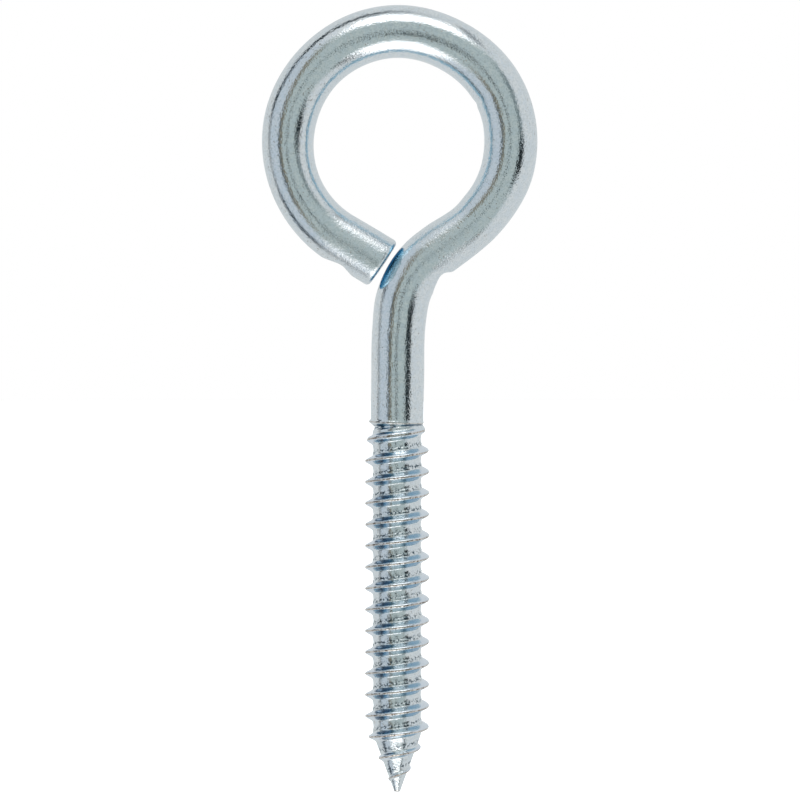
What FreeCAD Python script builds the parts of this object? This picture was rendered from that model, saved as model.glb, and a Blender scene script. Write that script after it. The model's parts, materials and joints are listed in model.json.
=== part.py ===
import FreeCAD, Part
import math
import os

import Sketcher
from FreeCAD import Placement, Rotation, Vector

# Lag-thread screw eye: one round steel wire, bent at the top into an eye that closes on
# the side of its own neck, and rolled at the bottom into a coarse wood thread that ends
# in a gimlet point. The whole object is a single continuous piece of wire.
#
# Frame: millimetres. The origin is on the shank axis where the thread ends and the plain
# shank begins, +Z runs up the shank to the eye, the eye lies in the XZ plane, the neck
# leans towards +X and the cut end of the wire comes back from the -X side.

# alias, value (millimetres or degrees), meaning
DIMENSIONS = [
    ("wire_dia", 10.5, "diameter of the wire"),
    ("shank_length", 11.9, "straight plain shank above the thread"),
    ("lower_bend_radius", 70.0, "centreline radius of the slow bend out of the shank"),
    ("lower_bend_sweep", 9.0, "angle of the slow bend"),
    ("upper_bend_radius", 15.8, "centreline radius of the tight bend above it"),
    ("upper_bend_sweep", 44.2, "angle of the tight bend"),
    ("neck_length", 8.8, "straight slope between the neck and the eye"),
    ("entry_radius", 21.4, "centreline radius where the wire enters the eye"),
    ("entry_sweep", 81.0, "angle of the entry bend"),
    ("eye_radius", 22.2, "centreline radius of the eye"),
    ("eye_sweep", 210.8, "angle of the eye after the entry bend"),
    ("tail_length", 9.7, "straight tail that ends at the cut"),
    ("cut_rounding", 0.9, "rounded edge of the cut end"),
    ("jaw_mark_radius", 7.0, "radius of the hollow that the closing jaw leaves in the tail"),
    ("jaw_mark_depth", 1.0, "depth of that hollow"),
    ("jaw_mark_to_cut", 7.2, "distance from its middle to the cut end"),
    ("anvil_mark_radius", 2.5, "radius of the groove the anvil leaves in the neck"),
    ("anvil_mark_depth", 0.7, "depth of that groove"),
    ("anvil_mark_turn", 38.0, "place of that groove along the tight bend, in degrees"),
    ("major_dia", 12.9, "diameter over the thread's crests"),
    ("root_dia", 9.6, "diameter of the core between the threads"),
    ("lead", 4.2333, "rise of the thread in one turn, six turns to 25.4 mm"),
    ("crest_width", 0.35, "flat width of the crest"),
    ("flank_angle", 30.0, "slope of each flank from the square section"),
    ("crest_phase", -8.0, "height of one crest on the -X side"),
    ("shoulder_drop", 0.35, "full wire below the origin, before the shoulder"),
    ("shoulder_height", 0.75, "height of the shoulder down to the core"),
    ("runout_step", 0.3, "ridge height where the thread starts under the plain shank"),
    ("runout_length", 6.2, "length over which the ridge grows to full height"),
    ("runout_fade", 1.2, "length over which the start of the ridge sinks into the shank"),
    ("thread_length", 73.9, "origin to the tip of the point"),
    ("point_angle", 20.4, "half angle of the core's cone at the point"),
    ("point_rounding", 0.8, "radius of the blunt tip"),
    ("taper_start", 61.5, "origin to the place where the crests start to taper"),
    ("taper_angle", 25.0, "half angle of the crests' cone at the point"),
    ("point_fade", 1.8, "length over which the ridge sinks into the point"),
    ("ridge_foot", 0.5, "depth that the ridge reaches into the core"),
    ("ridge_sink", 0.15, "depth of the ridge's buried ends below the surface"),
    ("crest_blend", 0.2, "rounding of the crest line where a taper starts"),
]

# The ridge is drawn as arcs of a helix, from just above the origin to just above the tip.
ARCS_PER_TURN = 4
POINTS_PER_ARC = 6
RIDGE_TOP = 1.2
RIDGE_END_ABOVE_TIP = 0.75
# The thread adds more than this many cubic millimetres to the core.
MIN_RIDGE_VOLUME = 1000


def make_sheet(doc):
    """Write the driving dimensions to a sheet, one row each, and return it."""
    sheet = doc.addObject("Spreadsheet::Sheet", "dims")
    for row, (alias, value, meaning) in enumerate(DIMENSIONS, start=1):
        sheet.set(f"A{row}", meaning)
        sheet.set(f"B{row}", str(value))
        sheet.setAlias(f"B{row}", alias)
    doc.recompute()
    return sheet


def origin_plane(body, role):
    return next(item for item in body.Origin.OriginFeatures if item.Role == role)


def new_sketch(body, name, role):
    """Make an empty sketch on one of the body's origin planes."""
    sketch = body.newObject("Sketcher::SketchObject", name)
    sketch.AttachmentSupport = [(origin_plane(body, role), "")]
    sketch.MapMode = "FlatFace"
    return sketch


def bind(sketch, name, constraint, expression):
    """Add a named constraint and drive it from the sheet."""
    index = sketch.addConstraint(constraint)
    sketch.renameConstraint(index, name)
    sketch.setExpression(f"Constraints.{name}", expression)


def path_steps(dims):
    """The centreline as (name, length or radius, sweep). A positive sweep turns left."""
    return [
        ("shank", dims.shank_length, 0),
        ("lower_bend", dims.lower_bend_radius, -dims.lower_bend_sweep),
        ("upper_bend", dims.upper_bend_radius, -dims.upper_bend_sweep),
        ("neck", dims.neck_length, 0),
        ("entry", dims.entry_radius, dims.entry_sweep),
        ("eye", dims.eye_radius, dims.eye_sweep),
        ("tail", dims.tail_length, 0),
    ]


def walk_path(dims):
    """Follow the centreline and return each step's start, heading, end and bend centre.

    Points are (x, z) in the plane of the eye and headings are degrees from +X.
    """
    walked = {}
    point = Vector(0, 0, 0)
    heading = 90.0
    for name, size, sweep in path_steps(dims):
        along = Vector(1, 0, 0)
        along = Rotation(Vector(0, 0, 1), heading).multVec(along)
        if sweep == 0:
            centre = None
            end = point + along * size
        else:
            side = math.copysign(1, sweep)
            to_centre = Vector(-along.y, along.x, 0) * side * size
            centre = point + to_centre
            end = centre + Rotation(Vector(0, 0, 1), sweep).multVec(to_centre * -1)
        walked[name] = {"start": point, "heading": heading, "end": end, "centre": centre}
        point = end
        heading += sweep
    return walked


def draw_path(body, dims):
    """Sketch the centreline as a chain of tangent lines and arcs."""
    sketch = new_sketch(body, "centreline", "XZ_Plane")
    walked = walk_path(dims)
    previous = None
    for name, size, sweep in path_steps(dims):
        step = walked[name]
        if sweep == 0:
            piece = sketch.addGeometry(Part.LineSegment(step["start"], step["end"]))
            first, last = 1, 2
            bind(sketch, name, Sketcher.Constraint("Distance", piece, size), f"dims.{name}_length")
        else:
            begin, finish = step["start"], step["end"]
            first, last = 1, 2
            if sweep < 0:
                begin, finish = finish, begin
                first, last = 2, 1
            circle = Part.Circle(step["centre"], Vector(0, 0, 1), size)
            arc = Part.ArcOfCircle(circle, circle.parameter(begin), circle.parameter(finish))
            piece = sketch.addGeometry(arc)
            bind(sketch, f"{name}_radius", Sketcher.Constraint("Radius", piece, size),
                 f"dims.{name}_radius")
            angle = math.radians(abs(sweep))
            bind(sketch, f"{name}_sweep", Sketcher.Constraint("Angle", piece, angle),
                 f"dims.{name}_sweep")
        if previous is None:
            sketch.addConstraint(Sketcher.Constraint("Coincident", piece, first, -1, 1))
            sketch.addConstraint(Sketcher.Constraint("Vertical", piece))
        else:
            sketch.addConstraint(Sketcher.Constraint("Tangent", *previous, piece, first))
        previous = (piece, last)
    return sketch


def draw_wire_section(body):
    """Sketch the round section of the wire at the foot of the centreline."""
    sketch = new_sketch(body, "wire_section", "XY_Plane")
    circle = sketch.addGeometry(Part.Circle(Vector(0, 0, 0), Vector(0, 0, 1), 5))
    sketch.addConstraint(Sketcher.Constraint("Coincident", circle, 3, -1, 1))
    bind(sketch, "wire_dia", Sketcher.Constraint("Diameter", circle, 10), "dims.wire_dia")
    return sketch


def point_profile(dims):
    """Heights of the gimlet point: arc centre, arc end on the cone, start of the cone."""
    slope = math.radians(dims.point_angle)
    centre = -dims.thread_length + dims.point_rounding
    arc_end_radius = dims.point_rounding * math.cos(slope)
    arc_end = centre - dims.point_rounding * math.sin(slope)
    cone_top = arc_end + (dims.root_dia / 2 - arc_end_radius) / math.tan(slope)
    return centre, arc_end_radius, arc_end, cone_top


def draw_core_profile(body, dims):
    """Sketch half of the core under the shank: shoulder, root cylinder, cone and tip."""
    sketch = new_sketch(body, "core_profile", "XZ_Plane")
    wire = dims.wire_dia / 2
    root = dims.root_dia / 2
    centre, arc_end_radius, arc_end, cone_top = point_profile(dims)
    shoulder_end = -dims.shoulder_drop - dims.shoulder_height
    corners = [
        Vector(0, 0, 0),
        Vector(wire, 0, 0),
        Vector(wire, -dims.shoulder_drop, 0),
        Vector(root, shoulder_end, 0),
        Vector(root, cone_top, 0),
        Vector(arc_end_radius, arc_end, 0),
    ]
    lines = []
    for start, end in zip(corners, corners[1:]):
        lines.append(sketch.addGeometry(Part.LineSegment(start, end)))
    top, rim, shoulder, side, cone = lines
    circle = Part.Circle(Vector(0, centre, 0), Vector(0, 0, 1), dims.point_rounding)
    cone_slope = math.radians(dims.point_angle)
    tip = sketch.addGeometry(Part.ArcOfCircle(circle, -math.pi / 2, -cone_slope))
    axis = sketch.addGeometry(Part.LineSegment(Vector(0, -dims.thread_length, 0), Vector(0, 0, 0)))

    join = Sketcher.Constraint
    for before, after in zip(lines, lines[1:]):
        sketch.addConstraint(join("Coincident", before, 2, after, 1))
    sketch.addConstraint([
        join("Coincident", top, 1, -1, 1),
        join("Horizontal", top),
        join("Vertical", rim),
        join("Vertical", side),
        join("Tangent", cone, 2, tip, 2),
        join("PointOnObject", tip, 3, -2),
        join("Coincident", tip, 1, axis, 1),
        join("Coincident", axis, 2, -1, 1),
        join("Vertical", axis),
    ])
    bind(sketch, "wire", join("DistanceX", -1, 1, top, 2, wire), "dims.wire_dia / 2")
    bind(sketch, "root", join("DistanceX", -1, 1, side, 2, root), "dims.root_dia / 2")
    bind(sketch, "drop", join("DistanceY", rim, 2, rim, 1, dims.shoulder_drop), "dims.shoulder_drop")
    bind(sketch, "shoulder", join("DistanceY", shoulder, 2, shoulder, 1, dims.shoulder_height),
         "dims.shoulder_height")
    bind(sketch, "length", join("DistanceY", axis, 1, axis, 2, dims.thread_length),
         "dims.thread_length")
    bind(sketch, "rounding", join("Radius", tip, dims.point_rounding), "dims.point_rounding")
    bind(sketch, "slope", join("Angle", side, 2, cone, 1, math.pi - cone_slope),
         "180 - dims.point_angle")
    return sketch


def cut_edge_name(shape, cut_centre):
    """Name of the circular edge around the cut end of the wire."""
    for number, edge in enumerate(shape.Edges, start=1):
        if edge.Closed and edge.CenterOfMass.distanceToPoint(cut_centre) < 0.01:
            return f"Edge{number}"
    raise RuntimeError("the cut end has no circular edge")


def make_bent_wire(doc, dims):
    """The wire from the cut end to the point, before the thread is rolled."""
    body = doc.addObject("PartDesign::Body", "bent_wire")
    path = draw_path(body, dims)
    section = draw_wire_section(body)
    doc.recompute()

    sweep = body.newObject("PartDesign::AdditivePipe", "bent_rod")
    sweep.Profile = section
    sweep.Spine = path
    doc.recompute()

    profile = draw_core_profile(body, dims)
    core = body.newObject("PartDesign::Revolution", "core_and_point")
    core.Profile = profile
    core.ReferenceAxis = (profile, ["V_Axis"])
    core.Angle = 360
    doc.recompute()

    cut = walk_path(dims)["tail"]["end"]
    cut_centre = Vector(cut.x, 0, cut.y)
    rounding = body.newObject("PartDesign::Fillet", "rounded_cut")
    rounding.Base = (core, [cut_edge_name(core.Shape, cut_centre)])
    rounding.setExpression("Radius", "dims.cut_rounding")
    doc.recompute()
    return body


def make_mark_pin(doc, name, surface_point, inward):
    """Pin across the eye's plane that presses a hollow into the wire's surface.

    The pin's radius is NAME_radius in the sheet, and it sinks NAME_depth below the
    surface point, along the inward direction. Both are given in the plane of the eye.
    """
    pin = doc.addObject("Part::Cylinder", f"{name}_pin")
    pin.setExpression("Radius", f"dims.{name}_radius")
    pin.setExpression("Height", "2 * dims.wire_dia")
    dims = doc.getObject("dims")
    stand_off = getattr(dims, f"{name}_radius") - getattr(dims, f"{name}_depth")
    middle = surface_point - inward * stand_off
    start = Vector(middle.x, dims.wire_dia, middle.y)
    pin.Placement = Placement(start, Rotation(Vector(1, 0, 0), 90))
    return pin


def make_jaw_pin(doc, dims):
    """The closing jaw, which presses on the outside of the tail close to the cut."""
    tail = walk_path(dims)["tail"]
    along = Rotation(Vector(0, 0, 1), tail["heading"]).multVec(Vector(1, 0, 0))
    inward = Vector(-along.y, along.x, 0)
    middle = tail["end"] - along * dims.jaw_mark_to_cut
    return make_mark_pin(doc, "jaw_mark", middle - inward * (dims.wire_dia / 2), inward)


def make_anvil_pin(doc, dims):
    """The bending anvil, which presses into the hollow side of the neck's tight bend."""
    bend = walk_path(dims)["upper_bend"]
    turn = Rotation(Vector(0, 0, 1), -dims.anvil_mark_turn)
    inward = turn.multVec(bend["start"] - bend["centre"])
    inward.normalize()
    surface = bend["centre"] + inward * (dims.upper_bend_radius - dims.wire_dia / 2)
    return make_mark_pin(doc, "anvil_mark", surface, inward)


def cut_marks(doc, body, tools):
    """Cut the marks of the bending tools out of the wire."""
    shape = body
    for tool in tools:
        cut = doc.addObject("Part::Cut", f"after_{tool.Name}")
        cut.Base = shape
        cut.Tool = tool
        shape = cut
    doc.recompute()
    return shape


def soft_min(first, second, blend):
    """The smaller of two lengths, with a rounded change from one to the other."""
    return (first + second - math.hypot(first - second, blend)) / 2


def clamp(value):
    return max(0.0, min(1.0, value))


def core_radius(dims, height):
    """Radius of the unthreaded surface at a height: wire, core or cone."""
    if height > -dims.shoulder_drop:
        return dims.wire_dia / 2
    _, arc_end_radius, arc_end, cone_top = point_profile(dims)
    if height > cone_top:
        return dims.root_dia / 2
    return arc_end_radius + (height - arc_end) * math.tan(math.radians(dims.point_angle))


def crest_radius(dims, height):
    """Radius of the thread's crest at a height, with its run-out and its taper."""
    full = dims.major_dia / 2
    wire = dims.wire_dia / 2
    growth = (full - wire - dims.runout_step) / dims.runout_length
    runout = wire + dims.runout_step - height * growth
    taper = full + (dims.taper_start + height) * math.tan(math.radians(dims.taper_angle))
    radius = soft_min(soft_min(full, runout, dims.crest_blend), taper, dims.crest_blend)

    above = clamp(height / dims.runout_fade)
    radius += (wire - dims.ridge_sink - radius) * above
    ridge_end = RIDGE_END_ABOVE_TIP - dims.thread_length
    below = clamp(1 - (height - ridge_end) / dims.point_fade)
    radius += (core_radius(dims, height) - dims.ridge_sink - radius) * below
    return radius


def foot_radius(dims, height):
    """Radius of the ridge's buried foot, always inside the core."""
    if height > -dims.shoulder_drop - dims.shoulder_height:
        return dims.root_dia / 2 - dims.ridge_foot
    return max(core_radius(dims, height) - dims.ridge_foot, dims.ridge_sink)


def ridge_section(dims, height):
    """The four corners of the ridge's section at a height, as (radius, height)."""
    crest = crest_radius(dims, height)
    foot = foot_radius(dims, height)
    crest_half = dims.crest_width / 2
    foot_half = crest_half + (crest - foot) * math.tan(math.radians(dims.flank_angle))
    return [
        (foot, height + foot_half),
        (crest, height + crest_half),
        (crest, height - crest_half),
        (foot, height - foot_half),
    ]


def ridge_corners(dims, step, steps):
    """The ridge's four corners, as points, at one of the stations along it."""
    bottom = RIDGE_END_ABOVE_TIP - dims.thread_length
    height = RIDGE_TOP + (bottom - RIDGE_TOP) * step / steps
    angle = math.pi + 2 * math.pi * (height - dims.crest_phase) / dims.lead
    across, forward = math.cos(angle), math.sin(angle)
    section = ridge_section(dims, height)
    return [Vector(radius * across, radius * forward, level) for radius, level in section]


def curve_through(points):
    curve = Part.BSplineCurve()
    curve.interpolate(points)
    return curve.toShape()


def make_ridge(doc, dims):
    """The right-hand thread ridge, a helical bar whose height follows the crest line.

    No helix feature varies its section along the way, so the ridge is four helical edges
    through points of a formula, with ruled faces between them and a flat at each end.
    The edges are split into short arcs, which keeps the joint with the core exact.
    """
    turns = (RIDGE_TOP - RIDGE_END_ABOVE_TIP + dims.thread_length) / dims.lead
    arcs = math.ceil(turns * ARCS_PER_TURN)
    steps = arcs * POINTS_PER_ARC
    corners = [ridge_corners(dims, step, steps) for step in range(steps + 1)]
    faces = []
    for arc in range(arcs):
        stations = corners[arc * POINTS_PER_ARC:(arc + 1) * POINTS_PER_ARC + 1]
        edges = [curve_through(list(track)) for track in zip(*stations)]
        for edge, neighbour in zip(edges, edges[1:] + edges[:1]):
            faces.append(Part.makeRuledSurface(edge, neighbour))
    for end in (corners[0], corners[-1]):
        faces.append(Part.Face(Part.makePolygon(end + end[:1])))
    shell = Part.makeShell(faces)
    shell.sewShape()
    solid = Part.makeSolid(shell)
    if solid.Volume < 0:
        solid.reverse()

    ridge = doc.addObject("Part::Feature", "thread_ridge")
    ridge.Shape = solid
    ridge.Placement = Placement()
    return ridge


def roll_thread(doc, wire, ridge):
    """Join the ridge to the wire, which makes the finished screw eye."""
    eye = doc.addObject("Part::Fuse", "screw_eye")
    eye.Label = "screw_eye"
    eye.Base = wire
    eye.Tool = ridge
    doc.recompute()
    return eye


def check_document(doc):
    """Stop if any object failed to recompute or holds a broken shape."""
    for item in doc.Objects:
        if "Invalid" in item.State or "Error" in item.State:
            raise RuntimeError(f"{item.Label} did not recompute: {item.State}")
    for item in doc.Objects:
        if item.isDerivedFrom("Part::Feature") and not item.isDerivedFrom("Sketcher::SketchObject"):
            if item.Shape.isNull() or not item.Shape.isValid():
                raise RuntimeError(f"{item.Label} has no valid shape")


def main():
    doc = FreeCAD.newDocument("screw_eye")
    dims = make_sheet(doc)
    body = make_bent_wire(doc, dims)
    wire = cut_marks(doc, body, [make_jaw_pin(doc, dims), make_anvil_pin(doc, dims)])
    screw_eye = roll_thread(doc, wire, make_ridge(doc, dims))
    check_document(doc)
    if len(screw_eye.Shape.Solids) != 1:
        raise RuntimeError("the screw eye is not one solid")
    if screw_eye.Shape.Volume < wire.Shape.Volume + MIN_RIDGE_VOLUME:
        raise RuntimeError("the thread did not join the core")
    os.makedirs("parts", exist_ok=True)
    screw_eye.Shape.exportStep(f"parts/{screw_eye.Label}.step")


main()
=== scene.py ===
"""Looks of the lag-thread screw eye: one bent and threaded wire, bright zinc plated, in a white studio.

The piece is shaped in millimetres, in the frame of the CAD part, and scaled to metres when its
mesh is made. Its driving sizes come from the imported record. What is added here is too fine for
the CAD part: how bending has pressed the wire out of round, the rolled section of the thread,
its frayed start, and the pits and nicks of the surface.
"""

import functools
import json
import math

import bmesh
import bpy
import numpy as np
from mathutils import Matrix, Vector, noise


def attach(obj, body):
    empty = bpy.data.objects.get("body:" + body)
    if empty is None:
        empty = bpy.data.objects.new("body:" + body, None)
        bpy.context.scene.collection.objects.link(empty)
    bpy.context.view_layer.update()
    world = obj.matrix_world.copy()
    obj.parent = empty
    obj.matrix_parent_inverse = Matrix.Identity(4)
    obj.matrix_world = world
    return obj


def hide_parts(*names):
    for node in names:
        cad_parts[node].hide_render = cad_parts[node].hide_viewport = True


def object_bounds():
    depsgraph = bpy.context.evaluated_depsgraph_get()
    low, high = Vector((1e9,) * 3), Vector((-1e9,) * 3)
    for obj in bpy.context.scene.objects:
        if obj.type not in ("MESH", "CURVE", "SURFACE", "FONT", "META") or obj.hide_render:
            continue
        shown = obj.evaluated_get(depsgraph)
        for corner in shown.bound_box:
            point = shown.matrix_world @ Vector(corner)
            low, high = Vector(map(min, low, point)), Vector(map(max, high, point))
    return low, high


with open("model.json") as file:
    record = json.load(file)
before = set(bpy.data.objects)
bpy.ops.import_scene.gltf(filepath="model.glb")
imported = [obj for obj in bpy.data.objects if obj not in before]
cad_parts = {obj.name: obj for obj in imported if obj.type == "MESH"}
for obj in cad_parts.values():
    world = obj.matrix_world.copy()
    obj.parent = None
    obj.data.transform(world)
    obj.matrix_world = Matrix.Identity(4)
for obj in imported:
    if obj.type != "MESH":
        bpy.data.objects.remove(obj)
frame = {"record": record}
cad_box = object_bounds()

# ---------------------------------------------------------------- sizes, in millimetres

MM = 0.001
mounts = {mount["name"]: mount["dims"] for mount in frame["record"]["mounts"]}
CREST_RADIUS = mounts["lag_thread"]["r_mm"]
THREAD_LENGTH = mounts["lag_thread"]["length_mm"]
WIRE_RADIUS = mounts["eye"]["length_mm"] / 2
EYE_BEND = mounts["eye"]["r_mm"] + WIRE_RADIUS

# The centreline above the thread, as on the CAD part: (length, 0) is a straight, and
# (radius, sweep in degrees) a bend. A negative sweep turns towards +X.
CENTRELINE = (
    (11.9, 0),
    (70.0, -9.0),
    (15.8, -44.2),
    (8.8, 0),
    (21.4, 81.0),
    (EYE_BEND, 210.8),
    (9.7, 0),
)

# Where bending has pressed the wire out of round: the middle of the stretch and half its
# length along the wire, then how much it stands proud on the outside and the inside of the eye.
OUT_OF_ROUND = (
    (11.0, 11.0, 0.16, -0.10),
    (23.0, 5.0, 0.04, 0.14),
    (43.0, 6.0, 0.00, -0.42),
    (49.5, 9.5, -0.30, -0.10),
    (63.0, 8.0, 0.00, 0.08),
    (74.1, 1.5, 0.00, -0.20),
    (87.5, 14.0, -0.27, 0.23),
    (117.0, 14.0, -0.12, -0.10),
    (143.0, 20.0, -0.16, -0.28),
)

# Marks of the bending tools on the outside of the wire: depth at distances along it.
ANVIL_MARK = ((28.0, 0.0), (31.0, 0.45), (33.2, 0.86), (34.9, 0.80), (36.2, 0.0))
JAW_MARK = ((154.4, 0.0), (157.6, 0.66), (158.8, 0.74), (161.3, 0.0))

MARK_EDGE = 0.35
SCUFF_MIDDLE = 38.0
SCUFF_REACH = 11.0
SIDEWAYS = 0.05

CUT_ROUNDING = 0.9
CUT_BULGE = 0.15
CUT_TILT = 0.04

LEAD = 25.4 / 6
CREST_PHASE = -8.02
CREST_FLAT = 0.50
FIRST_CREST_FLAT = 0.90
CREST_SOFTNESS = 0.16
FLANK_SLOPE = 2.0
UPPER_FOOT_FILLET = 0.30
LOWER_FOOT_FILLET = 0.62
ROOT_UPPER = 4.76
ROOT_FOOT = 4.88
ROOT_LOWER = 4.90
START_GROOVE = 0.30
SEAM = 1.62
SEAM_WIDTH = 0.22
SEAM_RAGGEDNESS = 0.16
BURIED = 0.5

SHOULDER_TOP = -0.30
SHOULDER_BOTTOM = -1.50
SHOULDER_DIP = 1.4
RUNOUT_STEP = 0.05
RUNOUT_LENGTH = 5.75
RUNOUT_FADE = 1.2

TAPER_START = -61.5
TAPER_SLOPE = math.tan(math.radians(25))
POINT_ANGLE = math.radians(20.4)
TIP_FLAT = 0.35
TIP_ROUNDING = 0.30
TIP_CORE = 0.75
POINT_FADE = 1.4

# ---------------------------------------------------------------- mesh resolution

COLUMNS = 88
ROWS_PER_TURN = 42
ROW_CROWDING = 0.50
THREAD_TOP = 3.0
RING_SPACING = 0.70
MARK_RING_SPACING = 0.25
CORNER_RINGS = 7
FACE_RINGS = 10
WELD = 1e-6


def soft_max(first, second, blend):
    """The larger of two lengths, with a rounded change from one to the other."""
    return (first + second + np.hypot(first - second, blend)) / 2


def soft_min(first, second, blend):
    """The smaller of two lengths, with a rounded change from one to the other."""
    return (first + second - np.hypot(first - second, blend)) / 2


def filleted_max(first, second, reach):
    """The larger of two lengths, with a round change where they differ by less than reach."""
    near = np.maximum(reach - np.abs(first - second), 0)
    return np.maximum(first, second) + near * near / (4 * reach)


def smooth_step(value, low, high):
    """0 below low, 1 above high, and a smooth change between them."""
    share = np.clip((value - low) / (high - low), 0, 1)
    return share * share * (3 - 2 * share)


def hump(distance, half_length):
    """1 in the middle of a stretch, falling smoothly to 0 at its ends."""
    return 0.5 + 0.5 * np.cos(np.pi * np.clip(np.abs(distance) / half_length, 0, 1))


def roughness_of(points, wavelength, seed):
    """Smooth random values between about -1 and 1 at points, as an array."""
    shifted = points.reshape(-1, 3) / wavelength + seed
    values = [noise.noise(Vector(point)) for point in shifted]
    return np.array(values).reshape(points.shape[:-1])


# ---------------------------------------------------------------- the bent wire


def step_length(size, sweep):
    return size * math.radians(abs(sweep)) if sweep else size


WIRE_LENGTH = sum(step_length(*step) for step in CENTRELINE)


def advance(x, z, heading, run, size, sweep):
    """Where a run along one straight or one bend of the centreline leads."""
    if sweep == 0:
        return x + run * np.cos(heading), z + run * np.sin(heading), heading + 0 * run
    side = math.copysign(size, sweep)
    turned = heading + run / side
    new_x = x + side * (np.sin(turned) - np.sin(heading))
    new_z = z - side * (np.cos(turned) - np.cos(heading))
    return new_x, new_z, turned


def follow_centreline(distances):
    """Points (x, z) and headings of the centreline at distances from the thread's end."""
    state = (0.0, 0.0, math.pi / 2)
    track = np.array(advance(*state, distances, *CENTRELINE[0]))
    begin = 0.0
    for size, sweep in CENTRELINE:
        ahead = distances >= begin
        track[:, ahead] = advance(*state, distances[ahead] - begin, size, sweep)
        length = step_length(size, sweep)
        state = advance(*state, length, size, sweep)
        begin += length
    return track


def mark_depth(mark, distances):
    """Depth of a tool mark along the wire, with its corners smoothed."""
    stations, depths = zip(*mark)
    spread = np.linspace(-0.45, 0.45, 7)
    return sum(np.interp(distances + shift, stations, depths) for shift in spread) / len(spread)


def wire_radius(distances, angles):
    """Radius of the unthreaded wire. Angle 0 faces outwards in the plane of the eye."""
    across = np.cos(angles)
    outside = np.maximum(across, 0) ** 2
    inside = np.maximum(-across, 0) ** 2
    radius = WIRE_RADIUS + 0 * distances * angles
    for middle, half_length, outer, inner in OUT_OF_ROUND:
        swell = hump(distances - middle, half_length)
        radius = radius + swell * (outer * outside + inner * inside)
    for mark in (ANVIL_MARK, JAW_MARK):
        depth = mark_depth(mark, distances)
        flat = (WIRE_RADIUS - depth) / np.maximum(across, SIDEWAYS)
        pressed = soft_min(radius, flat, MARK_EDGE * depth)
        radius = np.where(depth > 0, pressed, radius)
    return radius


def on_cylinder(angles, radii, heights):
    """Points as they would lie if the wire were straight."""
    return np.stack([radii * np.cos(angles), radii * np.sin(angles), heights], axis=-1)


def put_on_wire(distances, angles, radii):
    """Points in space for (distance along the wire, angle around it, radius) grids."""
    x, z, heading = follow_centreline(distances.ravel())
    x, z, heading = (part.reshape(distances.shape) for part in (x, z, heading))
    outward = radii * np.cos(angles)
    across = radii * np.sin(angles)
    return np.stack([x + outward * np.sin(heading), across, z - outward * np.cos(heading)], axis=-1)


def ring_distances():
    """Distances of the rings along the wire, closer together at the marks and the cut."""
    fine = np.linspace(THREAD_TOP, WIRE_LENGTH - CUT_ROUNDING, 4000)
    density = np.full_like(fine, 1 / RING_SPACING)
    for mark in (ANVIL_MARK, JAW_MARK):
        middle = (mark[0][0] + mark[-1][0]) / 2
        density += hump(fine - middle, mark[-1][0] - mark[0][0]) / MARK_RING_SPACING
    count = np.concatenate([[0], np.cumsum((density[1:] + density[:-1]) / 2 * np.diff(fine))])
    return np.interp(np.linspace(0, count[-1], round(count[-1])), count, fine)


def column_angles():
    return np.linspace(0, 2 * math.pi, COLUMNS, endpoint=False)


def scuffed(distances):
    """Share of the wire's surface that the bending jaws have scuffed."""
    share = smooth_step(distances, WIRE_LENGTH - 18, WIRE_LENGTH - 8)
    return np.maximum(share, hump(distances - SCUFF_MIDDLE, SCUFF_REACH))


def bent_wire_grid():
    """Rings from the thread to the middle of the cut, as (points, drawn places, regions)."""
    side = ring_distances()
    corner = np.linspace(0, math.pi / 2, CORNER_RINGS + 1)[1:]
    face = np.linspace(1, 0, FACE_RINGS + 1)[1:]
    start = WIRE_LENGTH - CUT_ROUNDING
    angles = column_angles()

    distances = [np.full(COLUMNS, distance) for distance in side]
    radii = [wire_radius(np.full(COLUMNS, distance), angles) for distance in side]
    rim = radii[-1]
    flat = rim - CUT_ROUNDING
    for turn in corner:
        distances.append(np.full(COLUMNS, start + CUT_ROUNDING * math.sin(turn)))
        radii.append(flat + CUT_ROUNDING * math.cos(turn))
    for share in face:
        distances.append(np.full(COLUMNS, WIRE_LENGTH + CUT_BULGE * (1 - share * share)))
        radii.append(flat * share)
    distances = np.array(distances)
    radii = np.array(radii)
    angles = np.broadcast_to(angles, radii.shape)

    drawn = on_cylinder(angles, radii, distances)
    near_cut = smooth_step(distances, WIRE_LENGTH - 4, WIRE_LENGTH)
    wave = 0.020 * roughness_of(drawn * (1, 1, 0.6), 5.0, 11.0)
    wave += 0.006 * roughness_of(drawn, 1.6, 23.0)
    wave *= smooth_step(distances, THREAD_TOP, THREAD_TOP + 1.5)
    wave *= np.minimum(1, radii / WIRE_RADIUS)
    leaned = distances - near_cut * CUT_TILT * radii * np.cos(angles)
    return put_on_wire(leaned, angles, radii + wave), drawn, {"scuff": scuffed(distances)}


# ---------------------------------------------------------------- the thread


CONE_END = -THREAD_LENGTH + TIP_ROUNDING * (1 - math.sin(POINT_ANGLE))
TIP_EDGE = TIP_ROUNDING * (math.pi / 2 - POINT_ANGLE)
LOWEST_PLACE = CONE_END - TIP_EDGE - TIP_FLAT


def point_outline(place):
    """Height and core radius at places along the outline of the core and its point.

    A place is a height down to the end of the cone, and from there a length along the
    rounded edge and the small flat of the tip.
    """
    on_cone = place > CONE_END
    turned = POINT_ANGLE + np.clip(CONE_END - place, 0, TIP_EDGE) / TIP_ROUNDING
    edge_height = -THREAD_LENGTH + TIP_ROUNDING * (1 - np.sin(turned))
    edge_radius = TIP_FLAT + TIP_ROUNDING * np.cos(turned)
    inwards = np.clip(CONE_END - TIP_EDGE - place, 0, TIP_FLAT)
    cone_foot = TIP_FLAT + TIP_ROUNDING * math.cos(POINT_ANGLE)
    cone_radius = cone_foot + (place - CONE_END) * math.tan(POINT_ANGLE)
    height = np.where(on_cone, place, edge_height)
    return height, np.where(on_cone, cone_radius, edge_radius - inwards)


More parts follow.
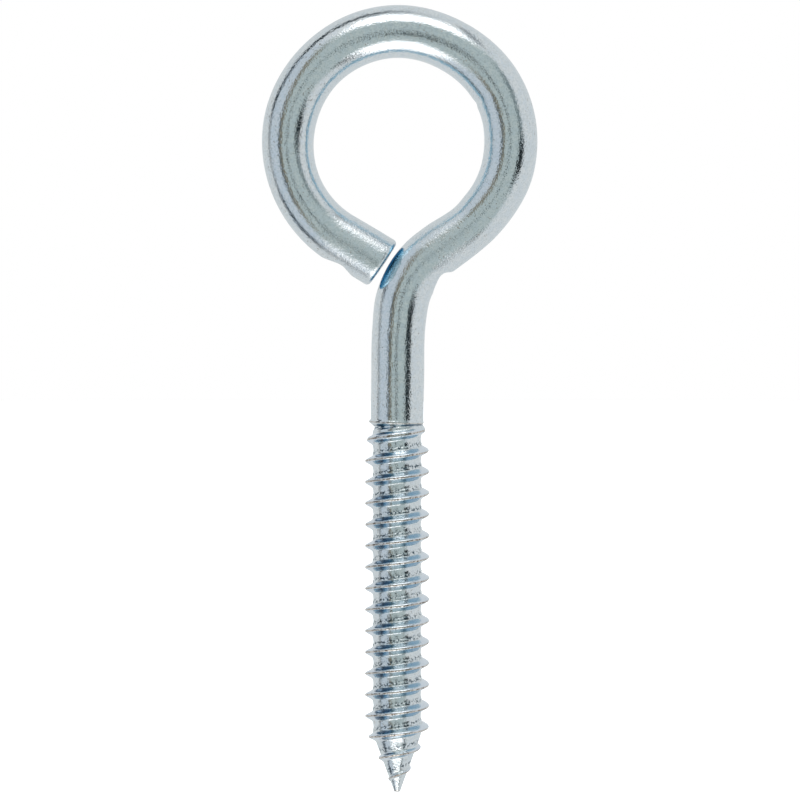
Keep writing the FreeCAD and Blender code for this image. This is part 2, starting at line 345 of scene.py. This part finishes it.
def above_crest(height, angles):
    """Height above the nearest crest line, from minus half a lead to plus half a lead."""
    crest = CREST_PHASE + LEAD * (angles - math.pi) / (2 * math.pi)
    return (height - crest + LEAD / 2) % LEAD - LEAD / 2


def root_radius(above, around):
    """The rolled root: it narrows below a crest and steps out at a ragged seam."""
    ragged = above + SEAM_RAGGEDNESS * roughness_of(around, 0.8, 61.0)
    step = smooth_step(ragged, SEAM - SEAM_WIDTH / 2, SEAM + SEAM_WIDTH / 2)
    upper = ROOT_UPPER + (ROOT_FOOT - ROOT_UPPER) * smooth_step(above, -LEAD / 2, -1.0)
    lower = ROOT_LOWER + (ROOT_UPPER - ROOT_LOWER) * step
    return np.where(above < 0, upper, lower)


def root_unevenness(around, height, cone):
    """What rolling has left on the root, below the shoulder and above the point."""
    waves = roughness_of(around * (1, 1, 1.6), 1.3, 5.0)
    waves += 0.5 * roughness_of(around * (1, 1, 1.3), 0.5, 71.0)
    return 0.022 * waves * smooth_step(-height, 0.3, 1.5) * smooth_step(cone, 1.0, 3.0)


def crest_unevenness(around, height, cone):
    """What rolling has left on the crest: a slow wave, and small nicks."""
    wave = 0.045 * roughness_of(around, 2.2, 31.0)
    nicks = 0.10 * np.maximum(roughness_of(around, 0.9, 47.0) - 0.45, 0)
    return (wave - nicks) * smooth_step(-height, -1.0, 1.0) * smooth_step(cone, 1.0, 3.0)


def core_radius(height, angles, above, around, cone):
    """The surface without the ridge: plain wire, shoulder, root and cone."""
    wire = wire_radius(np.maximum(height, 0), angles)
    dip = SHOULDER_DIP * (0.5 + 0.5 * np.cos(angles)) ** 3
    shoulder = smooth_step(height + dip, SHOULDER_BOTTOM, SHOULDER_TOP)
    root = root_radius(above, around)
    radius = root + (wire - root) * shoulder
    radius = np.minimum(soft_min(radius, cone, 0.15), cone)
    radius = radius + root_unevenness(around, height, cone)
    return radius + start_burr(height, angles) - START_GROOVE * in_start_groove(height, angles)


def crest_radius(height, core):
    """The crest line: it starts low under the shoulder, runs full and tapers at the point."""
    growth = (CREST_RADIUS - WIRE_RADIUS - RUNOUT_STEP) / RUNOUT_LENGTH
    runout = WIRE_RADIUS + RUNOUT_STEP - height * growth
    taper = CREST_RADIUS - (TAPER_START - height) * TAPER_SLOPE
    radius = soft_min(soft_min(CREST_RADIUS + 0 * height, runout, 0.2), taper, 0.2)
    radius += (WIRE_RADIUS - BURIED - radius) * smooth_step(height, 0, RUNOUT_FADE)
    ridge_end = -THREAD_LENGTH + TIP_CORE
    buried = 1 - smooth_step(height, ridge_end, ridge_end + POINT_FADE)
    return radius + (core - BURIED - radius) * buried


def add_ridge(core, crest, above, height, cone):
    """The core with the ridge on it: a narrow rounded top, straight flanks and filleted feet."""
    near_start = smooth_step(height, -6.0, -3.0)
    flat = CREST_FLAT + (FIRST_CREST_FLAT - CREST_FLAT) * near_start
    from_top = soft_max(np.abs(above) - flat / 2, 0 * above, CREST_SOFTNESS)
    ridge = crest - FLANK_SLOPE * from_top
    fillet = np.where(above > 0, UPPER_FOOT_FILLET, LOWER_FOOT_FILLET)
    fillet = fillet * smooth_step(-height, -1.2, 0.5) * smooth_step(cone, 0.6, 2.5)
    ridged = filleted_max(ridge, core, np.maximum(fillet, WELD))
    return np.where(cone < TIP_CORE, core, ridged)


def left_share(angles):
    """1 on the -X side, 0 on the +X side."""
    return 0.5 - 0.5 * np.cos(angles)


def rim_distance(height, angles):
    """Height above the rim where rolling starts, which sinks towards the +X side."""
    return height + 0.18 + 0.45 * (1 - left_share(angles))


def start_burr(height, angles):
    """The lip that rolling has pushed up at the rim, highest on the -X side."""
    return (0.10 + 0.28 * left_share(angles) ** 2) * hump(rim_distance(height, angles), 0.60)


def in_start_groove(height, angles):
    """1 in the middle of the sharp groove under the rim, which narrows towards the +X side."""
    left = left_share(angles)
    middle = -0.75 - 0.50 * left
    return hump(height - middle, 0.28 + 0.45 * left)


def thread_rows():
    """Places of the rows at angle 0, closer together at the crests."""
    crest_at_start = CREST_PHASE - LEAD / 2
    first = math.floor((LOWEST_PLACE - LEAD - crest_at_start) / LEAD) * ROWS_PER_TURN
    last = math.ceil((THREAD_TOP - crest_at_start) / LEAD + 1) * ROWS_PER_TURN
    turns = np.arange(first, last + 1) / ROWS_PER_TURN
    crowding = ROW_CROWDING * np.sin(2 * math.pi * turns) / (2 * math.pi)
    return crest_at_start + LEAD * (turns - crowding)


def thread_grid():
    """Rows that climb with the thread, as (points, drawn places, what each point is part of)."""
    angles = column_angles()
    places = thread_rows()[:, None] + LEAD * angles[None, :] / (2 * math.pi)
    angles = np.broadcast_to(angles, places.shape)
    places = np.clip(places, LOWEST_PLACE, THREAD_TOP)
    height, cone = point_outline(places)
    above = above_crest(height, angles)
    around = on_cylinder(angles, WIRE_RADIUS, height)

    core = core_radius(height, angles, above, around, cone)
    crest = crest_radius(height, core) + crest_unevenness(around, height, cone)
    radius = add_ridge(core, crest, above, height, cone)
    at_top = height > THREAD_TOP - WELD
    radius = np.where(at_top, wire_radius(height, angles), radius)

    standing = smooth_step(crest - core, 0.1, 0.5)
    on_crest = standing * (1 - smooth_step(np.abs(above + 0.07), 0.08, 0.24))
    on_crest = np.maximum(on_crest, 1 - smooth_step(cone, 0.55, 0.75))
    # The flank mask: where the painted flank shade goes.
    on_flank = (1 - on_crest) * smooth_step(radius - core, 0.08, 0.45)
    # The seam mask: where the shade of the seam's step is painted in.
    on_seam = standing * hump(above - SEAM + 0.05, 0.75) * smooth_step(-height, 2, 4)
    on_crest = np.maximum(on_crest, hump(rim_distance(height, angles), 0.24))
    # The groove mask: where the shade of the groove under the rim is painted in.
    groove = in_start_groove(height, angles) * (1 - on_crest)
    regions = {"crest": on_crest, "flank": on_flank, "seam": on_seam, "groove": groove}
    return put_on_wire(height, angles, radius), on_cylinder(angles, radius, height), regions


# ---------------------------------------------------------------- the mesh


def grid_faces(first, rows, twist):
    """Quads of a closed grid of rows, where each turn may climb by a number of rows."""
    faces = []
    for row in range(rows - 1):
        for column in range(COLUMNS):
            here = first + row * COLUMNS + column
            if column < COLUMNS - 1:
                beside = here + 1
            else:
                beside = first + (row + twist) * COLUMNS
                if row + twist + 1 >= rows:
                    continue
            faces.append((here, beside, beside + COLUMNS, here + COLUMNS))
    return faces


def add_attribute(mesh, name, kind, values):
    field = {"FLOAT": "value", "FLOAT_VECTOR": "vector"}[kind]
    layer = mesh.attributes.new(name, kind, "POINT")
    layer.data.foreach_set(field, np.asarray(values, np.float32).ravel())


def weld(mesh):
    """Merge the rows that were clipped at the ends, and turn every face outwards."""
    shape = bmesh.new()
    shape.from_mesh(mesh)
    bmesh.ops.remove_doubles(shape, verts=shape.verts, dist=WELD)
    bmesh.ops.dissolve_degenerate(shape, edges=shape.edges, dist=WELD)
    bmesh.ops.recalc_face_normals(shape, faces=shape.faces)
    for face in shape.faces:
        face.smooth = True
    shape.to_mesh(mesh)
    shape.free()


def make_screw_eye():
    """One closed mesh: the threaded end, the bends and the cut end of the same wire."""
    thread_points, thread_drawn, thread_regions = thread_grid()
    wire_points, wire_drawn, wire_regions = bent_wire_grid()
    points = np.concatenate([thread_points.reshape(-1, 3), wire_points.reshape(-1, 3)])
    drawn = np.concatenate([thread_drawn.reshape(-1, 3), wire_drawn.reshape(-1, 3)])
    faces = grid_faces(0, thread_points.shape[0], ROWS_PER_TURN)
    faces += grid_faces(thread_points.shape[0] * COLUMNS, wire_points.shape[0], 0)

    mesh = bpy.data.meshes.new("zinc_screw_eye")
    mesh.from_pydata((points * MM).tolist(), [], faces)
    add_attribute(mesh, "drawn", "FLOAT_VECTOR", drawn)
    for name in ("crest", "flank", "seam", "groove", "scuff"):
        on_thread = thread_regions.get(name, np.zeros(thread_points.shape[:-1]))
        on_wire = wire_regions.get(name, np.zeros(wire_points.shape[:-1]))
        add_attribute(mesh, name, "FLOAT", np.concatenate([on_thread.ravel(), on_wire.ravel()]))
    weld(mesh)
    piece = bpy.data.objects.new("zinc_screw_eye", mesh)
    bpy.context.scene.collection.objects.link(piece)
    return piece


# ---------------------------------------------------------------- shader nodes


class Shader:
    """Adds nodes to a tree. Each call returns the new node's output socket."""

    def __init__(self, owner):
        owner.use_nodes = True
        self.tree = owner.node_tree
        self.tree.nodes.clear()

    def add(self, kind, inputs, output=0, **settings):
        node = self.tree.nodes.new(kind)
        for name, value in settings.items():
            setattr(node, name, value)
        for key, value in inputs.items():
            socket = node.inputs[key]
            if isinstance(value, bpy.types.NodeSocket):
                self.tree.links.new(value, socket)
            else:
                socket.default_value = value
        return node.outputs[output]

    def finish(self, kind, surface):
        """Send a surface or a background to the output of the tree."""
        output = self.tree.nodes.new(kind)
        self.tree.links.new(surface, output.inputs["Surface"])

    def math(self, operation, first, second=0.0):
        return self.add("ShaderNodeMath", {0: first, 1: second}, operation=operation)

    def total(self, *values):
        return functools.reduce(lambda first, second: self.math("ADD", first, second), values)

    def product(self, *values):
        return functools.reduce(lambda first, second: self.math("MULTIPLY", first, second), values)

    def opposite(self, share):
        return self.math("SUBTRACT", 1.0, share)

    def vector(self, operation, first, second=(0, 0, 0)):
        return self.add("ShaderNodeVectorMath", {0: first, 1: second}, operation=operation)

    def join(self, first, second):
        return self.add("ShaderNodeCombineXYZ", {0: first, 1: second, 2: 0.0})

    def parts(self, vector):
        return [self.add("ShaderNodeSeparateXYZ", {0: vector}, output=axis) for axis in "XYZ"]

    def to_camera(self, vector):
        """A direction as the camera has it: to its right, upwards, and the way that it looks."""
        space = {"vector_type": "NORMAL", "convert_from": "WORLD", "convert_to": "CAMERA"}
        return self.add("ShaderNodeVectorTransform", {0: vector}, **space)

    def length(self, vector):
        inputs = {0: vector}
        return self.add("ShaderNodeVectorMath", inputs, output="Value", operation="LENGTH")

    def bearing(self, opposite, adjacent):
        """Angle of a right-angled triangle from its two short sides, in degrees."""
        return self.math("DEGREES", self.math("ARCTAN2", opposite, adjacent))

    def rise(self, value, low, high):
        """0 below low, 1 above high, and a smooth change between them."""
        inputs = {"Value": value, "From Min": low, "From Max": high}
        return self.add("ShaderNodeMapRange", inputs, interpolation_type="SMOOTHSTEP")

    def spread(self, value, low, high):
        """A value from 0 to 1 spread evenly from low to high."""
        return self.add("ShaderNodeMapRange", {"Value": value, "To Min": low, "To Max": high})

    def between(self, value, low, high, soft):
        """1 between low and high, 0 outside, with soft edges centred on them."""
        up = self.rise(value, low - soft / 2, low + soft / 2)
        down = self.rise(value, high - soft / 2, high + soft / 2)
        return self.math("SUBTRACT", up, down)

    def blend(self, share, first, second):
        inputs = {"Factor": share, 6: first, 7: second}
        return self.add("ShaderNodeMix", inputs, output=2, data_type="RGBA")

    def ramp(self, value, stops):
        """Colour at a value from -1 to 1, between stops of (value, colour) in rising order."""
        inputs = {"Value": value, "From Min": -1.0, "From Max": 1.0}
        share = self.add("ShaderNodeMapRange", inputs)
        colour = self.add("ShaderNodeValToRGB", {0: share})
        ramp = colour.node.color_ramp
        for _ in stops[2:]:
            ramp.elements.new(1.0)
        for element, (place, tint) in zip(ramp.elements, stops):
            element.position = (place + 1) / 2
            element.color = tint
        return colour

    def noise(self, place, scale, detail=2.0, roughness=0.5):
        inputs = {"Vector": place, "Scale": scale, "Detail": detail, "Roughness": roughness}
        return self.add("ShaderNodeTexNoise", inputs)

    def attribute(self, name, output="Fac"):
        return self.add("ShaderNodeAttribute", {}, output=output, attribute_name=name)


def opaque(red, green, blue):
    return (red, green, blue, 1.0)


CLEAR_ZINC = opaque(0.815, 0.835, 0.845)
BLUISH_ZINC = opaque(0.755, 0.800, 0.840)
DULL_ZINC = opaque(0.690, 0.730, 0.745)
# Painted shade of the thread's flanks.
FLANK_PAINTED_SHADE = opaque(0.74, 0.79, 0.86)
WORN_CREST = opaque(0.20, 0.14, 0.10)
PALE_CREST = opaque(0.76, 0.71, 0.66)
BROWN_FLECK = opaque(0.30, 0.25, 0.21)
# Painted shade: the navy of the seam's step and of the groove under the rim.
SEAM_PAINTED_SHADE = opaque(0.05, 0.09, 0.12)
GROOVE_PAINTED_SHADE = opaque(0.02, 0.08, 0.14)

# Painted reflection: the zinc's colour where it is seen mirrored in itself, painted deep blue
# as shade and pale as highlight. On the wire it depends on how far the mirrored light comes
# from the front (-1) or from behind (+1), and on the thread on how far the mirrored place
# faces left (-1) or right (+1). After a second such reflection it is always the same pale tint.
WIRE_PAINTED_REFLECTION = (
    (-0.30, opaque(0.74, 0.88, 0.96)),
    (0.00, opaque(0.50, 0.68, 0.79)),
    (0.40, opaque(0.28, 0.58, 0.76)),
    (0.62, opaque(0.02, 0.22, 0.42)),
    (0.90, opaque(0.00, 0.08, 0.22)),
)
THREAD_PAINTED_REFLECTION = (
    (-0.98, opaque(0.46, 0.64, 0.82)),
    (-0.80, opaque(0.00, 0.06, 0.13)),
    (-0.55, opaque(0.00, 0.06, 0.13)),
    (-0.40, opaque(0.14, 0.34, 0.47)),
    (-0.20, opaque(0.92, 0.98, 1.00)),
    (0.22, opaque(0.92, 0.98, 1.00)),
    (0.45, opaque(0.30, 0.50, 0.62)),
    (0.80, opaque(0.33, 0.50, 0.64)),
)
TWICE_PAINTED_REFLECTION = opaque(0.90, 0.95, 1.00)


def zinc_patterns(shader):
    """Noise of several sizes over the wire as drawn, with the wire's length along Z."""
    drawn = shader.attribute("drawn", "Vector")
    _, _, height = shader.parts(drawn)
    along = shader.vector("MULTIPLY", drawn, (1, 1, 0.35))
    around = shader.vector("MULTIPLY", drawn, (0.22, 0.22, 1))
    clusters = shader.rise(shader.noise(drawn, 0.13, 1.0), 0.42, 0.60)
    near_thread = shader.between(height, 1.5, 8.0, 5.0)
    flecks = shader.rise(shader.noise(drawn, 1.9, 3.0, 0.6), 0.62, 0.68)
    return {
        "threaded": shader.opposite(shader.rise(height, -0.6, 0.3)),
        "mottle": shader.noise(drawn, 0.9, 3.0),
        "grain": shader.noise(drawn, 3.2, 1.0, 0.6),
        "streaks": shader.noise(along, 2.2, 1.0),
        "scuffs": shader.product(shader.noise(drawn, 1.3, 3.0, 0.6), shader.attribute("scuff")),
        "flecks": shader.product(flecks, shader.math("MAXIMUM", clusters, near_thread)),
        "wear": shader.rise(shader.noise(drawn, 2.4, 3.0, 0.7), 0.47, 0.58),
        # Specks of painted shade along the seam's step.
        "dirt": shader.rise(shader.noise(drawn, 2.3, 2.0, 0.6), 0.50, 0.58),
        # Streaks of painted shade in the groove under the rim.
        "lines": shader.rise(shader.noise(around, 2.4, 2.0, 0.6), 0.40, 0.50),
    }


def painted_self_reflection(shader, pattern, bounces):
    """Painted reflection: the zinc's colour where it is seen in itself, painted deep blue as shade, and
    pale as a highlight in mid-thread.
    """
    normal = shader.add("ShaderNodeNewGeometry", {}, output="Normal")
    back = shader.add("ShaderNodeNewGeometry", {}, output="Incoming")
    to_right = shader.parts(shader.to_camera(normal))[0]
    from_behind = shader.product(shader.parts(shader.to_camera(back))[2], -1.0)
    from_above = shader.parts(back)[2]
    # The thread's painted reflection also shifts with how far the light comes from above.
    thread = shader.ramp(shader.total(to_right, shader.product(from_above, 0.15)), THREAD_PAINTED_REFLECTION)
    colour = shader.blend(pattern["threaded"], shader.ramp(from_behind, WIRE_PAINTED_REFLECTION), thread)
    return shader.blend(shader.rise(bounces, 1.4, 1.6), colour, TWICE_PAINTED_REFLECTION)


def zinc_colour(shader, pattern):
    """Clear to bluish plate, dull in its grain, and brown where it is worn or flecked, with painted
    shade on the flanks, along the seam and in the groove under the rim, and the painted reflection from
    the first bounce on.
    """
    crest = shader.blend(pattern["wear"], PALE_CREST, WORN_CREST)
    dirt = shader.product(shader.attribute("seam"), pattern["dirt"])
    colour = shader.blend(shader.rise(pattern["mottle"], 0.35, 0.65), CLEAR_ZINC, BLUISH_ZINC)
    dull = shader.product(shader.rise(pattern["grain"], 0.46, 0.62), 0.8)
    colour = shader.blend(dull, colour, DULL_ZINC)
    # Painted shade: a bluer, darker tint on the thread's flanks.
    colour = shader.blend(shader.product(shader.attribute("flank"), 0.8), colour, FLANK_PAINTED_SHADE)
    colour = shader.blend(shader.product(pattern["flecks"], 0.7), colour, BROWN_FLECK)
    colour = shader.blend(shader.attribute("crest"), colour, crest)
    # Painted shade: navy specks along the seam's step.
    colour = shader.blend(dirt, colour, SEAM_PAINTED_SHADE)
    # Painted shade: dark navy streaks in the groove under the rim.
    lines = shader.product(shader.attribute("groove"), pattern["lines"])
    colour = shader.blend(lines, colour, GROOVE_PAINTED_SHADE)
    # From the first bounce on, the colour is the painted reflection.
    bounces = shader.add("ShaderNodeLightPath", {}, output="Ray Depth")
    mirrored = painted_self_reflection(shader, pattern, bounces)
    return shader.blend(shader.rise(bounces, 0.4, 0.6), colour, mirrored)


def make_zinc():
    """Bright zinc plate: a mirror-like metal with fine grain, drawn streaks and worn crests."""
    material = bpy.data.materials.new("zinc_plate")
    shader = Shader(material)
    pattern = zinc_patterns(shader)
    worn = shader.product(shader.attribute("crest"), pattern["wear"])
    rough = shader.total(
        shader.spread(pattern["grain"], 0.07, 0.13),
        shader.product(worn, 0.25),
        shader.product(pattern["flecks"], 0.2),
        shader.product(pattern["scuffs"], 0.28),
    )
    relief = shader.total(
        shader.product(pattern["grain"], 0.034),
        shader.product(pattern["streaks"], 0.022),
        shader.product(pattern["scuffs"], 0.060),
        shader.product(pattern["flecks"], -0.006),
    )
    surface = {
        "Base Color": zinc_colour(shader, pattern),
        "Metallic": 1.0,
        "Roughness": rough,
        "Normal": shader.add("ShaderNodeBump", {"Height": relief, "Distance": MM}),
    }
    shader.finish("ShaderNodeOutputMaterial", shader.add("ShaderNodeBsdfPrincipled", surface))
    return material


# ---------------------------------------------------------------- the studio

# What the metal mirrors, as seen from the object, in degrees to the right of the lens and
# above it: (left, right), (bottom, top), softness of the edges, colour, strength.
STUDIO = (
    ("surround of the lens", (-37, 44), (-48, 46), 12, (0.47, 0.545, 0.545), 1.0),
    ("lavender panel", (-86, -38), (-66, 62), 10, (0.57, 0.640, 0.700), 1.0),
    ("brown edge", (-38, -27), (-28, 38), 7, (0.20, 0.180, 0.130), 1.0),
    ("dark gap on the left", (-43, -35), (-18, 14), 6, (0.05, 0.075, 0.090), 0.9),
    ("grey gap on the right", (36, 50), (-10, 34), 9, (0.17, 0.220, 0.230), 0.95),
    ("dark gap on the right", (33, 58), (-14, 2), 5, (0.005, 0.010, 0.012), 1.0),
    ("glow beside the upper softbox", (-46, -24), (54, 74), 14, (0.85, 0.880, 0.900), 0.4),
    ("upper softbox", (-22, 29), (44, 73), 13, (2.1, 2.1, 2.1), 1.0),
    ("edge of the upper softbox", (42, 48), (56, 88), 5, (0.02, 0.030, 0.040), 0.95),
    ("lower softbox", (-31, 27), (-85, -47), 14, (1.8, 1.8, 1.8), 1.0),
    ("edge of the lower softbox", (31, 38), (-68, -40), 4, (0.01, 0.015, 0.020), 1.0),
)
ROOM = opaque(0.70, 0.74, 0.755)
BACKDROP = opaque(1.05, 1.05, 1.05)
BACKDROP_START = 164
BACKDROP_FULL = 180

# The dark gap between the tent around the object and the backdrop: a ring around a middle
# above the lens, seen from the left of it to the top.
TENT_GAP_MIDDLE = (-3, 3, 0)
TENT_GAP = (82.5, 95.5)
TENT_GAP_ENDS = (-64, 92)
TENT_GAP_PALE = (-24, 12)
TENT_GAP_COLOUR = opaque(0.000, 0.012, 0.022)

# The round dark things around the camera: middle, radius of the dark core, outer radius.
DARK_SPOTS = (
    ("lens", (-4.5, -1.6, 0), 2.8, 5.2),
    ("head of the stand", (-3.1, -14.6, 0), 5.0, 6.8),
)
SPOT_COLOUR = opaque(0.005, 0.015, 0.018)


def mirrored_direction(shader):
    """Degrees away from the lens, and degrees to its right and above it, of what is mirrored."""
    place = shader.add("ShaderNodeTexCoord", {}, output="Camera")
    right, up, ahead = shader.parts(shader.vector("NORMALIZE", place))
    sideways = shader.length(shader.join(right, up))
    away = shader.bearing(sideways, shader.product(ahead, -1.0))
    scale = shader.math("DIVIDE", away, shader.math("MAXIMUM", sideways, 1e-4))
    return away, shader.product(right, scale), shader.product(up, scale)


def tent_gap(shader, place):
    """Share of the dark gap at a place, given in degrees to the right and upwards."""
    from_middle = shader.vector("SUBTRACT", place, TENT_GAP_MIDDLE)
    right, up, _ = shader.parts(from_middle)
    turned = shader.bearing(up, shader.product(right, -1.0))
    ring = shader.between(shader.length(from_middle), *TENT_GAP, 4)
    pale = shader.product(shader.between(turned, *TENT_GAP_PALE, 16), 0.5)
    return shader.product(ring, shader.between(turned, *TENT_GAP_ENDS, 50), shader.opposite(pale))


def mirrored_studio(shader):
    """Colour of the studio around the camera, which turns with the camera."""
    away, to_right, to_top = mirrored_direction(shader)
    place = shader.join(to_right, to_top)
    colour = shader.blend(shader.rise(away, BACKDROP_START, BACKDROP_FULL), ROOM, BACKDROP)
    for _, across, upwards, soft, tint, strength in STUDIO:
        beside = shader.between(to_right, *across, soft)
        level = shader.between(to_top, *upwards, soft)
        colour = shader.blend(shader.product(beside, level, strength), colour, opaque(*tint))
    colour = shader.blend(tent_gap(shader, place), colour, TENT_GAP_COLOUR)
    for _, middle, core, edge in DARK_SPOTS:
        from_middle = shader.length(shader.vector("SUBTRACT", place, middle))
        spot = shader.opposite(shader.rise(from_middle, core, edge))
        colour = shader.blend(spot, colour, SPOT_COLOUR)
    return colour


def make_world():
    """White to the camera, and the studio to everything that reflects."""
    world = bpy.data.worlds.new("studio")
    bpy.context.scene.world = world
    shader = Shader(world)
    seen = shader.add("ShaderNodeLightPath", {}, output="Is Camera Ray")
    colour = shader.blend(seen, mirrored_studio(shader), opaque(1, 1, 1))
    shader.finish("ShaderNodeOutputWorld", shader.add("ShaderNodeBackground", {"Color": colour}))


FLOOR_RADIUS = 4.0
FLOOR_SIDES = 96


def make_floor(low):
    """A plain pale floor just under the point. It isn't mirrored in the metal."""
    corners = []
    for side in range(FLOOR_SIDES):
        angle = 2 * math.pi * side / FLOOR_SIDES
        corners.append((FLOOR_RADIUS * math.cos(angle), FLOOR_RADIUS * math.sin(angle), 0.0))
    mesh = bpy.data.meshes.new("floor")
    mesh.from_pydata(corners, [], [tuple(range(FLOOR_SIDES))])
    floor = bpy.data.objects.new("floor", mesh)
    floor.location.z = low
    bpy.context.scene.collection.objects.link(floor)

    material = bpy.data.materials.new("pale_floor")
    shader = Shader(material)
    lit = shader.add("ShaderNodeBsdfDiffuse", {"Color": opaque(0.82, 0.82, 0.82)})
    glow = shader.add("ShaderNodeEmission", {"Color": opaque(1, 1, 1), "Strength": 0.72})
    both = shader.add("ShaderNodeAddShader", {0: lit, 1: glow})
    shader.finish("ShaderNodeOutputMaterial", both)
    mesh.materials.append(material)
    floor.visible_glossy = False
    floor.visible_shadow = False


def make_key_light(middle):
    """A large soft lamp overhead. It lights the floor and isn't mirrored in the metal."""
    lamp = bpy.data.lights.new("overhead", "AREA")
    lamp.shape = "DISK"
    lamp.size = 0.6
    lamp.energy = 1.5
    light = bpy.data.objects.new("overhead", lamp)
    light.location = middle + Vector((0, 0, 0.6))
    light.visible_glossy = False
    bpy.context.scene.collection.objects.link(light)


# ---------------------------------------------------------------- the camera

CAMERA_DISTANCE = 0.83
CAMERA_HEIGHT = 0.0199
VIEW_CENTRE = Vector((0.00057, 0, 0.00408))
VIEW_WIDTH = 0.15907
SENSOR_WIDTH = 36.0


def make_camera():
    """Before the plane of the eye, slightly above the middle, and aimed at the middle."""
    camera = bpy.data.cameras.new("camera")
    camera.sensor_width = SENSOR_WIDTH
    place = Vector((VIEW_CENTRE.x, -CAMERA_DISTANCE, CAMERA_HEIGHT))
    camera.lens = SENSOR_WIDTH * (VIEW_CENTRE - place).length / VIEW_WIDTH
    view = bpy.data.objects.new("camera", camera)
    view.location = place
    view.rotation_euler = (VIEW_CENTRE - place).to_track_quat("-Z", "Y").to_euler()
    bpy.context.scene.collection.objects.link(view)
    bpy.context.scene.camera = view


def show_true_colours():
    settings = bpy.context.scene.view_settings
    settings.view_transform = "Standard"
    settings.look = "None"


screw_eye = make_screw_eye()
screw_eye.data.materials.append(make_zinc())
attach(screw_eye, "root")
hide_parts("screw_eye")

box_low, box_high = cad_box
make_world()
make_floor(box_low.z)
make_key_light((box_low + box_high) / 2)
make_camera()
show_true_colours()
